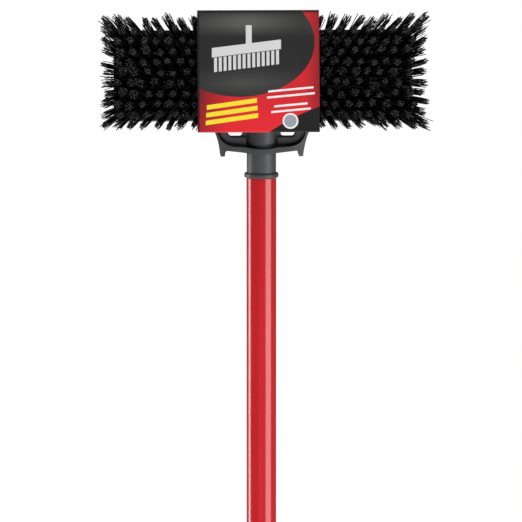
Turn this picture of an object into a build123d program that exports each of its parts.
"""Swivel deck scrub: a wide bristle head on a swivelling brace, with a screw-in steel handle.

Millimetres. The handle's axis is +Z and its butt end stands at z = 0. The head is at the top, with its
bristles facing -Y and leaning up a little, as it hangs against the brace's stop.
"""

import os
from math import cos, radians, sin, tan

from build123d import *

# Handle
TUBE_RADIUS = 12.7
TUBE_WALL = 0.6
TUBE_LENGTH = 1320
CAP_DROP = 26  # hang cap below the tube
CAP_COLLAR = 4
CAP_RADIUS = 12.4
TAB_THICKNESS = 11
HANG_HOLE_RADIUS, HANG_HOLE_HEIGHT = 4.5, 12
PLUG_CLEARANCE = 0.05
PLUG_LENGTH = 28
PLUG_WALL = 2.5

# Joint between the handle's tip and the brace
RING_RADIUS = 14.6
RING_HEIGHT = 4.3
RING_EDGE = 1.5
RING_BORE = 11.3
TIP_SHOULDER = 1.4
TIP_SPIGOT = 11
THREAD_PITCH = 5.08
THREAD_TURNS = 5
THREAD_CORE = 7.1
THREAD_CREST = 9.4
THREAD_ROOT_WIDTH, THREAD_CREST_WIDTH = 2.9, 1.7
THREAD_SEAT = 0.3  # each ridge starts this far inside its own wall
SOCKET_CREST = 7.5
SOCKET_RADIUS = 9.75
SOCKET_DEPTH = 31

# Brace, in distances below the hinge
HINGE_ABOVE_TUBE = 85.5
NECK_RADIUS = 12.5
BARREL_RADIUS = 7.5
WEB_THICKNESS = 5
ARM_INNER, ARM_OUTER = 38, 48
ARM_WALL = 2.4
PRONG_HALF_WIDTH = 13
SHOULDER_DROP = 14
LEG_DROP = 66
BULGE_LENGTH, BULGE_END, BULGE_MIDDLE = 104, 7.6, 16.4
STRIP_WALL = 2.2
POCKET_DROP = 3.2  # how far the pocket behind the strip lies below the strip's upper edge
WINDOW_DROP, WINDOW_STEP = 49.8, 0.3
GROOVE = 0.9
PAD_HEIGHT, PAD_EDGE, PAD_INNER = 3.8, 1.3, 19
BOSS_DROP, BOSS_EDGE = 57.6, 2
PIN_RADIUS = 3.175

# Head, measured from the hinge towards the bristles
HEAD_TILT = 10
BASE_BACK = 8
BASE_THICKNESS = 4
BASE_WIDTH, BASE_HEIGHT = 75, 46
BLOCK_LENGTH, BLOCK_HEIGHT, BLOCK_THICKNESS = 252, 76, 22
SCREW_X, SCREW_Y = 25.5, 17
SCREW_RADIUS, SCREW_HEAD_RADIUS, SCREW_HEAD_HEIGHT, SCREW_BITE = 1.9, 4, 2.2, 8.6
SLOT_LENGTH, SLOT_WIDTH, SLOT_DEPTH = 4, 0.9, 1.4
EAR_RADIUS, EAR_FOOT, EAR_GAP, RUNNING_GAP = 6.3, 9, 0.4, 0.06
RIB_THICKNESS = 5.5
SPINE_THICKNESS = 3
HOLLOW_SPAN = 30

# Tufts
TUFT_ROWS, TUFT_COLUMNS = 11, 26
TUFT_BASE_X, TUFT_BASE_Y = 120.5, 32.7  # outermost hole centres on the block's face
TUFT_TIP_X, TUFT_TIP_Y = 135, 45.2  # the same tufts' centres at the trim plane
TUFT_FLARE = 0.027  # extra spread of the staggered rows towards the head's ends
TRIM_LENGTH = 34
HOLE_RADIUS, HOLE_DEPTH = 2.4, 12
TUFT_ROOT_RADIUS, TUFT_TIP_RADIUS = 1.9, 3.0
ANCHOR_LENGTH, ANCHOR_WIDTH, ANCHOR_HEIGHT = 4.7, 0.45, 1.8

# Card sleeve round the head
CARD = 0.5
CARD_GAP = 0.3
CARD_WIDTH = 102.2
CARD_SHIFT = -5
CARD_TOP, CARD_BOTTOM = 52.4, -51

tube_top = CAP_DROP + TUBE_LENGTH
neck_mouth = tube_top + RING_HEIGHT + 0.2
hinge_height = tube_top + HINGE_ABOVE_TUBE
block_back = BASE_BACK + BASE_THICKNESS
block_face = block_back + BLOCK_THICKNESS
trim_plane = block_face + TRIM_LENGTH
plug_radius = TUBE_RADIUS - TUBE_WALL - PLUG_CLEARANCE

front = Plane(origin=(0, 0, hinge_height), x_dir=(1, 0, 0), z_dir=(0, -1, 0))
side = Plane(origin=(0, 0, hinge_height), x_dir=(0, 1, 0), z_dir=(1, 0, 0))
head = Plane(
    origin=(0, 0, hinge_height),
    x_dir=(1, 0, 0),
    z_dir=(0, -cos(radians(HEAD_TILT)), sin(radians(HEAD_TILT))),
)

os.makedirs("parts", exist_ok=True)


def save(part, name):
    part.label = name
    export_step(part, f"parts/{name}.step")
    print(name, len(part.solids()), round(part.volume))


def helical_ridge(radius, reach, start, turns):
    """A trapezoid thread ridge on the handle's axis, rising by reach from radius (negative goes inwards)."""
    path = Helix(pitch=THREAD_PITCH, height=THREAD_PITCH * turns, radius=radius, center=(0, 0, start))
    with BuildPart() as ridge:
        with BuildSketch(Plane(origin=(radius, 0, start), x_dir=(1, 0, 0), z_dir=(0, -1, 0))):
            with BuildLine():
                Polyline(
                    (0, -THREAD_ROOT_WIDTH / 2),
                    (reach, -THREAD_CREST_WIDTH / 2),
                    (reach, THREAD_CREST_WIDTH / 2),
                    (0, THREAD_ROOT_WIDTH / 2),
                    close=True,
                )
            make_face()
        sweep(path=path, is_frenet=True)
    return ridge.part


# --- Handle -------------------------------------------------------------------------------------------

with BuildPart() as handle_tube:
    with BuildSketch(Plane.XY.offset(CAP_DROP)):
        Circle(TUBE_RADIUS)
        Circle(TUBE_RADIUS - TUBE_WALL, mode=Mode.SUBTRACT)
    extrude(amount=TUBE_LENGTH)
save(handle_tube.part, "handle_tube")

with BuildPart() as hang_cap:
    with BuildSketch(Plane.XZ):
        with BuildLine():
            Line((-4, 0), (4, 0))
            TangentArc((4, 0), (11.4, 9), tangent=(1, 0))
            Line((11.4, 9), (CAP_RADIUS, CAP_DROP - CAP_COLLAR))
            Line((CAP_RADIUS, CAP_DROP - CAP_COLLAR), (CAP_RADIUS, CAP_DROP - 0.05))
            Line((CAP_RADIUS, CAP_DROP - 0.05), (-CAP_RADIUS, CAP_DROP - 0.05))
            Line((-CAP_RADIUS, CAP_DROP - 0.05), (-CAP_RADIUS, CAP_DROP - CAP_COLLAR))
            Line((-CAP_RADIUS, CAP_DROP - CAP_COLLAR), (-11.4, 9))
            TangentArc((-4, 0), (-11.4, 9), tangent=(-1, 0))
        make_face()
    extrude(amount=CAP_RADIUS, both=True)
    with BuildSketch(Plane.YZ):
        with BuildLine():
            Line((0, 0), (TAB_THICKNESS / 2, 0))
            Line((TAB_THICKNESS / 2, 0), (TAB_THICKNESS / 2, HANG_HOLE_HEIGHT + 5))
            flare = TangentArc(
                (TAB_THICKNESS / 2, HANG_HOLE_HEIGHT + 5), (CAP_RADIUS, CAP_DROP - CAP_COLLAR), tangent=(0, 1)
            )
            Line(flare @ 1, (CAP_RADIUS, CAP_DROP))
            Line((CAP_RADIUS, CAP_DROP), (0, CAP_DROP))
            Line((0, CAP_DROP), (0, 0))
        make_face()
        mirror(about=Plane.YZ)
    extrude(amount=CAP_RADIUS, both=True, mode=Mode.INTERSECT)
    with BuildSketch(Plane.XY):
        Circle(CAP_RADIUS)
    extrude(amount=CAP_DROP, mode=Mode.INTERSECT)
    with BuildSketch(Plane.XY.offset(CAP_DROP - 1)):
        Circle(plug_radius)
    extrude(amount=PLUG_LENGTH)
    with BuildSketch(Plane.XY.offset(CAP_DROP + 2)):
        Circle(plug_radius - PLUG_WALL)
    extrude(amount=PLUG_LENGTH, mode=Mode.SUBTRACT)
    with BuildSketch(Plane.XZ):
        with Locations((0, HANG_HOLE_HEIGHT)):
            Circle(HANG_HOLE_RADIUS)
    extrude(amount=20, both=True, mode=Mode.SUBTRACT)
save(hang_cap.part, "hang_cap")

tip_thread = helical_ridge(
    radius=THREAD_CORE - THREAD_SEAT,
    reach=THREAD_CREST - THREAD_CORE + THREAD_SEAT,
    start=neck_mouth + 2,
    turns=THREAD_TURNS - 0.5,
)
thread_end = neck_mouth + THREAD_PITCH * THREAD_TURNS + 2.5
flange_radius = TUBE_RADIUS - 0.2

with BuildPart() as threaded_tip:
    with BuildSketch(Plane.XZ):
        with BuildLine():
            Polyline(
                (0, tube_top - PLUG_LENGTH),
                (plug_radius - 1, tube_top - PLUG_LENGTH),
                (plug_radius, tube_top - PLUG_LENGTH + 1.5),
                (plug_radius, tube_top + 0.02),
                (flange_radius, tube_top + 0.02),
                (flange_radius, tube_top + TIP_SHOULDER),
                (TIP_SPIGOT, tube_top + TIP_SHOULDER),
                (TIP_SPIGOT, tube_top + RING_HEIGHT - 0.1),
                (THREAD_CORE, tube_top + RING_HEIGHT - 0.1),
                (THREAD_CORE, thread_end),
                (THREAD_CORE - 1, thread_end + 1),
                (0, thread_end + 1),
                close=True,
            )
        make_face()
    revolve(axis=Axis.Z)
    add(tip_thread)
save(threaded_tip.part, "threaded_tip")

with BuildPart() as joint_ring:
    with BuildSketch(Plane.XZ) as ring_section:
        with BuildLine():
            Polyline(
                (TUBE_RADIUS + 0.4, tube_top + 0.1),
                (TUBE_RADIUS + 0.3, tube_top + TIP_SHOULDER + 0.3),
                (RING_BORE, tube_top + TIP_SHOULDER + 0.3),
                (RING_BORE, tube_top + RING_HEIGHT),
                (RING_RADIUS, tube_top + RING_HEIGHT),
                (RING_RADIUS, tube_top + 0.1),
                close=True,
            )
        make_face()
        fillet(ring_section.vertices().group_by(Axis.X)[-1], radius=RING_EDGE)
    revolve(axis=Axis.Z)
save(joint_ring.part, "joint_ring")

# --- Swivelling brace -----------------------------------------------------------------------------------

wedge = tan(radians(HEAD_TILT))
neck_drop = hinge_height - neck_mouth
web_face = WEB_THICKNESS / 2
arm_middle = (ARM_INNER + ARM_OUTER) / 2
arm_width = ARM_OUTER - ARM_INNER

# Seen from the side: each flank lies along the head at one of its two stops
with BuildSketch(side) as wedge_outline:
    Circle(BARREL_RADIUS)
    with BuildLine():
        Polyline(
            (-BARREL_RADIUS, 0),
            (BARREL_RADIUS, 0),
            (BARREL_RADIUS + wedge * neck_drop, -neck_drop),
            (-BARREL_RADIUS - wedge * neck_drop, -neck_drop),
            close=True,
        )
    make_face()

# Seen from above: the strip bulges round the neck
with BuildSketch() as bulge_outline:
    with BuildLine():
        Line((BULGE_LENGTH / 2, 0), (BULGE_LENGTH / 2, BULGE_END))
        ThreePointArc((BULGE_LENGTH / 2, BULGE_END), (0, BULGE_MIDDLE), (-BULGE_LENGTH / 2, BULGE_END))
        Line((-BULGE_LENGTH / 2, BULGE_END), (-BULGE_LENGTH / 2, 0))
        Line((-BULGE_LENGTH / 2, 0), (BULGE_LENGTH / 2, 0))
    make_face()
    mirror(about=Plane.XZ)

# The recess between the arms and above the strip, seen from the front
with BuildSketch() as recess_outline:
    with BuildLine():
        Line((0, -2), (ARM_OUTER - ARM_WALL, -2))
        Line((ARM_OUTER - ARM_WALL, -2), (ARM_OUTER - ARM_WALL, -SHOULDER_DROP))
        rim = Spline(
            (ARM_OUTER - ARM_WALL, -SHOULDER_DROP),
            (42.8, -31),
            (37.4, -46.5),
            (33.8, -53),
            (27.4, -56.8),
            (14, -58),
            (0, -59.7),
            tangents=((0, -1), (-1, 0)),
        )
        Line(rim @ 1, (0, -2))
    make_face()
    mirror(about=Plane.YZ)

# Windows through the web beside the middle prong
with BuildSketch() as window_outline:
    with BuildLine():
        Polyline(
            (PRONG_HALF_WIDTH, 20),
            (PRONG_HALF_WIDTH, -36),
            (16.4, -42),
            (16.4, -WINDOW_DROP),
            (27.2, -WINDOW_DROP),
            (ARM_INNER, -27),
            (ARM_INNER, 20),
            close=True,
        )
    make_face()
    fillet(window_outline.vertices().sort_by(Axis.Y)[:2], radius=2.4)
    mirror(about=Plane.YZ)

# Pocket that hollows the strip from behind, leaving it a thin wall
with BuildPart() as pocket:
    with BuildSketch(front.offset(web_face)):
        with Locations((0, -POCKET_DROP)):
            add(recess_outline.sketch)
    extrude(amount=BULGE_MIDDLE)
    with BuildSketch(Plane.XY.offset(hinge_height - LEG_DROP)):
        add(bulge_outline.sketch)
        offset(amount=-STRIP_WALL)
    extrude(amount=LEG_DROP - SHOULDER_DROP - POCKET_DROP, mode=Mode.INTERSECT)

# Raised pads on both faces, filling the recess except for a groove round them and a step at the windows
with BuildSketch() as window_clearance:
    add(window_outline.sketch)
    offset(amount=WINDOW_STEP)

with BuildSketch() as pad_outline:
    with BuildLine():
        stations = [station / 8 for station in range(9)]
        edge = Spline(
            [rim @ t + Vector((rim % t).Y, -(rim % t).X) * GROOVE for t in stations],
            tangents=((0, -1), (-1, 0)),
        )
        Polyline(edge @ 0, ((edge @ 0).X, -2 - GROOVE), (0, -2 - GROOVE), edge @ 1)
    make_face()
    mirror(about=Plane.YZ)
    Rectangle(2 * (NECK_RADIUS + GROOVE), 2 * LEG_DROP, mode=Mode.SUBTRACT)
    Rectangle(2 * PAD_INNER, 2 * (WINDOW_DROP + WINDOW_STEP), mode=Mode.SUBTRACT)
    add(window_clearance.sketch, mode=Mode.SUBTRACT)

with BuildPart() as pads:
    with BuildSketch(front):
        add(pad_outline.sketch)
    extrude(amount=web_face + PAD_HEIGHT, both=True)
    fillet(pads.faces().filter_by(Axis.Y).edges(), radius=PAD_EDGE)

# Neck and round middle prong, with a rounded boss above the strip
with BuildPart() as prong:
    with BuildSketch(Plane.XZ):
        with BuildLine():
            Polyline(
                (NECK_RADIUS - BOSS_EDGE, hinge_height - BOSS_DROP),
                (NECK_RADIUS - BOSS_EDGE, hinge_height - BOSS_DROP - 4),
                (NECK_RADIUS, hinge_height - BOSS_DROP - 4),
                (NECK_RADIUS, neck_mouth),
                (0, neck_mouth),
                (0, hinge_height + BARREL_RADIUS),
                (NECK_RADIUS, hinge_height + BARREL_RADIUS),
                (NECK_RADIUS, hinge_height - BOSS_DROP + BOSS_EDGE),
            )
            RadiusArc(
                (NECK_RADIUS, hinge_height - BOSS_DROP + BOSS_EDGE),
                (NECK_RADIUS - BOSS_EDGE, hinge_height - BOSS_DROP),
                radius=BOSS_EDGE,
            )
        make_face()
    revolve(axis=Axis.Z)
    extrude(wedge_outline.sketch, amount=NECK_RADIUS, both=True, mode=Mode.INTERSECT)

socket_thread = helical_ridge(
    radius=SOCKET_RADIUS + THREAD_SEAT,
    reach=SOCKET_CREST - SOCKET_RADIUS - THREAD_SEAT,
    start=neck_mouth + 2 + THREAD_PITCH / 2,
    turns=THREAD_TURNS - 0.5,
)

with BuildPart() as swivel_brace:
    # Flaring arms, two short legs and the strip between them
    with BuildSketch(front):
        with BuildLine():
            Line((0, BARREL_RADIUS), (ARM_OUTER, BARREL_RADIUS))
            Line((ARM_OUTER, BARREL_RADIUS), (ARM_OUTER, -SHOULDER_DROP))
            arm = ThreePointArc((ARM_OUTER, -SHOULDER_DROP), (45.2, -31), (39.4, -47))
            leg = ThreePointArc(arm @ 1, (36.7, -56), (35.1, -LEG_DROP))
            foot = Line(leg @ 1, (31.6, -LEG_DROP))
            inside = Line(foot @ 1, (31.2, -62.8))
            arch = ThreePointArc(inside @ 1, (30.4, -61.6), (29, -61.2))
            bridge = ThreePointArc(arch @ 1, (15, -62.6), (0, -64.6))
            Line(bridge @ 1, (0, BARREL_RADIUS))
        make_face()
        mirror(about=Plane.YZ)
    extrude(amount=BULGE_MIDDLE + 1, both=True)
    extrude(wedge_outline.sketch, amount=BULGE_LENGTH / 2, both=True, mode=Mode.INTERSECT)
    with BuildSketch(Plane.XY.offset(hinge_height - LEG_DROP - 1)):
        add(bulge_outline.sketch)
    extrude(amount=LEG_DROP + BARREL_RADIUS + 2, mode=Mode.INTERSECT)

    # Recess and pocket on both faces, the windows, and the pads
    for direction in (1, -1):
        with BuildSketch(front.offset(direction * web_face)):
            add(recess_outline.sketch)
        extrude(amount=direction * 30, mode=Mode.SUBTRACT)
    add(pocket.part, mode=Mode.SUBTRACT)
    add(pocket.part.mirror(Plane.XZ), mode=Mode.SUBTRACT)
    with BuildSketch(front):
        add(window_outline.sketch)
    extrude(amount=BULGE_MIDDLE + 1, both=True, mode=Mode.SUBTRACT)
    add(pads.part)
    add(prong.part)

    # Barrels on the hinge line
    for centre, length in ((0, 2 * PRONG_HALF_WIDTH), (arm_middle, arm_width), (-arm_middle, arm_width)):
        with BuildSketch(side.offset(centre)):
            Circle(BARREL_RADIUS)
        extrude(amount=length / 2, both=True)

    # Pin bore, and the threaded socket with a lead-in at its mouth
    with BuildSketch(side):
        Circle(PIN_RADIUS)
    extrude(amount=ARM_OUTER + 1, both=True, mode=Mode.SUBTRACT)
    with BuildSketch(Plane.XZ):
        with BuildLine():
            Polyline(
                (0, neck_mouth),
                (SOCKET_RADIUS + 0.6, neck_mouth),
                (SOCKET_RADIUS, neck_mouth + 1),
                (SOCKET_RADIUS, neck_mouth + SOCKET_DEPTH),
                (0, neck_mouth + SOCKET_DEPTH + 3),
                close=True,
            )
        make_face()
    revolve(axis=Axis.Z, mode=Mode.SUBTRACT)
    add(socket_thread)
save(swivel_brace.part, "swivel_brace")

pin_reach = 2
with BuildPart() as hinge_pin:
    with BuildSketch(side.offset(-ARM_OUTER - pin_reach)):
        Circle(PIN_RADIUS)
    extrude(amount=2 * (ARM_OUTER + pin_reach))
    chamfer(hinge_pin.edges(), length=0.6)
save(hinge_pin.part, "hinge_pin")

with BuildPart() as pin_retainers:
    with BuildSketch(Plane.XY.offset(hinge_height)):
        with BuildLine():
            Polyline(
                (ARM_OUTER, PIN_RADIUS),
                (ARM_OUTER + 1.3, PIN_RADIUS),
                (ARM_OUTER + 1.3, PIN_RADIUS + 1.2),
                (ARM_OUTER + 0.6, PIN_RADIUS + 3),
                (ARM_OUTER, PIN_RADIUS + 3),
                close=True,
            )
        make_face()
        mirror(about=Plane.YZ)
    revolve(axis=Axis(origin=(0, 0, hinge_height), direction=(1, 0, 0)))
save(pin_retainers.part, "pin_retainers")

# --- Head -----------------------------------------------------------------------------------------------

ear_inner = PRONG_HALF_WIDTH + EAR_GAP
ear_outer = ARM_INNER - EAR_GAP
screw_places = [(SCREW_X, SCREW_Y), (-SCREW_X, SCREW_Y), (SCREW_X, -SCREW_Y), (-SCREW_X, -SCREW_Y)]
head_side = Plane(origin=head.origin, x_dir=head.z_dir, z_dir=(-1, 0, 0))

with BuildPart() as hinge_bracket:
    with BuildSketch(head.offset(BASE_BACK)):
        RectangleRounded(BASE_WIDTH, BASE_HEIGHT, 5)
    extrude(amount=BASE_THICKNESS)
    for ear_start in (ear_inner, -ear_outer):
        with BuildSketch(head_side.offset(-ear_start - (ear_outer - ear_inner))):
            Circle(EAR_RADIUS)
            with BuildLine():
                Polyline(
                    (0, EAR_RADIUS),
                    (BASE_BACK + 1, EAR_FOOT),
                    (BASE_BACK + 1, -EAR_FOOT),
                    (0, -EAR_RADIUS),
                    close=True,
                )
            make_face()
        extrude(amount=ear_outer - ear_inner)

    # Each ear is hollowed between its two ribs, down to a tube round the pin and a spine
    for centre in (1, -1):
        with BuildSketch(head_side.offset(-centre * (ear_inner + ear_outer) / 2)):
            with Locations((BASE_BACK - HOLLOW_SPAN / 2, 0)):
                Rectangle(HOLLOW_SPAN, HOLLOW_SPAN)
            Circle(EAR_RADIUS - 0.7, mode=Mode.SUBTRACT)
            with Locations((BASE_BACK / 2, 0)):
                Rectangle(BASE_BACK, SPINE_THICKNESS, mode=Mode.SUBTRACT)
        extrude(amount=(ear_outer - ear_inner) / 2 - RIB_THICKNESS, both=True, mode=Mode.SUBTRACT)
    with BuildSketch(head_side):
        Circle(PIN_RADIUS + RUNNING_GAP)
    extrude(amount=ARM_INNER, both=True, mode=Mode.SUBTRACT)
    with BuildSketch(head.offset(BASE_BACK)):
        with Locations(*screw_places):
            Circle(SCREW_RADIUS + 0.3)
    extrude(amount=BASE_THICKNESS, mode=Mode.SUBTRACT)
save(hinge_bracket.part, "hinge_bracket")

with BuildPart() as bracket_screws:
    with BuildSketch(head.offset(BASE_BACK)):
        with Locations(*screw_places):
            Circle(SCREW_RADIUS)
    extrude(amount=BASE_THICKNESS + SCREW_BITE)
    with BuildSketch(head.offset(BASE_BACK)):
        with Locations(*screw_places):
            Circle(SCREW_HEAD_RADIUS)
    extrude(amount=-SCREW_HEAD_HEIGHT, taper=18)
    with BuildSketch(head.offset(BASE_BACK - SCREW_HEAD_HEIGHT)):
        with Locations(*screw_places):
            Rectangle(SLOT_LENGTH, SLOT_WIDTH)
            Rectangle(SLOT_WIDTH, SLOT_LENGTH)
    extrude(amount=SLOT_DEPTH, mode=Mode.SUBTRACT)
save(bracket_screws.part, "bracket_screws")


def tuft_frames(row):
    """Planes at the bottoms of one row's holes, each looking along its tuft."""
    across = row % 2
    frames = []
    for column in range(TUFT_COLUMNS - across):
        share_x = (2 * column + across) / (TUFT_COLUMNS - 1) - 1
        share_y = 2 * row / (TUFT_ROWS - 1) - 1
        base = head.from_local_coords((share_x * TUFT_BASE_X, share_y * TUFT_BASE_Y, block_face))
        tip_x = share_x * TUFT_TIP_X * (1 + across * TUFT_FLARE * share_x**2)
        tip = head.from_local_coords((tip_x, share_y * TUFT_TIP_Y, trim_plane))
        along = (tip - base).normalized()
        level = (1, 0, -along.X / along.Z)
        frames.append(Plane(origin=base - along * HOLE_DEPTH, x_dir=level, z_dir=along))
    return frames


holes = [frame for row in range(TUFT_ROWS) for frame in tuft_frames(row)]

with BuildPart() as brush_block:
    with BuildSketch(head.offset(block_back)):
        RectangleRounded(BLOCK_LENGTH, BLOCK_HEIGHT, 7)
    extrude(amount=BLOCK_THICKNESS)
    fillet(brush_block.faces().sort_by(Axis.Y)[-1].edges(), radius=3)
    with BuildSketch(head.offset(block_back)):
        with Locations(*screw_places):
            Circle(SCREW_RADIUS)
    extrude(amount=SCREW_BITE, mode=Mode.SUBTRACT)
    with Locations(*holes):
        Cylinder(
            HOLE_RADIUS,
            HOLE_DEPTH + 3,
            align=(Align.CENTER, Align.CENTER, Align.MIN),
            mode=Mode.SUBTRACT,
        )
save(brush_block.part, "brush_block")

for row in range(TUFT_ROWS):
    with BuildPart() as tuft_row:
        with Locations(*tuft_frames(row)):
            Cone(
                TUFT_ROOT_RADIUS,
                TUFT_TIP_RADIUS,
                HOLE_DEPTH + TRIM_LENGTH * 1.12,
                align=(Align.CENTER, Align.CENTER, Align.MIN),
            )
            Box(
                ANCHOR_LENGTH + 1,
                ANCHOR_WIDTH,
                ANCHOR_HEIGHT,
                align=(Align.CENTER, Align.CENTER, Align.MIN),
                mode=Mode.SUBTRACT,
            )
        split(bisect_by=head.offset(trim_plane), keep=Keep.BOTTOM)
    save(tuft_row.part, f"tuft_row_{row + 1:02d}")

with BuildPart() as tuft_anchors:
    with Locations(*holes):
        Box(ANCHOR_LENGTH, ANCHOR_WIDTH, ANCHOR_HEIGHT, align=(Align.CENTER, Align.CENTER, Align.MIN))
save(tuft_anchors.part, "tuft_anchors")

# Card folded round block and bristles, open on the back where the bracket is
card_front = trim_plane + CARD_GAP + CARD
card_back = block_back - CARD_GAP - CARD
card_half = BLOCK_HEIGHT / 2 + CARD_GAP + CARD

with BuildPart() as card_sleeve:
    with BuildSketch(head_side.offset(-CARD_SHIFT - CARD_WIDTH / 2)):
        with BuildLine():
            Polyline(
                (card_back, -card_half),
                (block_face, -card_half),
                (card_front, CARD_BOTTOM),
                (card_front, CARD_TOP),
                (block_face, card_half),
                (card_back, card_half),
                close=True,
            )
        make_face()
        offset(amount=-CARD, mode=Mode.SUBTRACT)
    extrude(amount=CARD_WIDTH)
    with BuildSketch(head.offset(card_back - 1)):
        Rectangle(BASE_WIDTH + 4, BLOCK_HEIGHT)
    extrude(amount=3, mode=Mode.SUBTRACT)
save(card_sleeve.part, "card_sleeve")
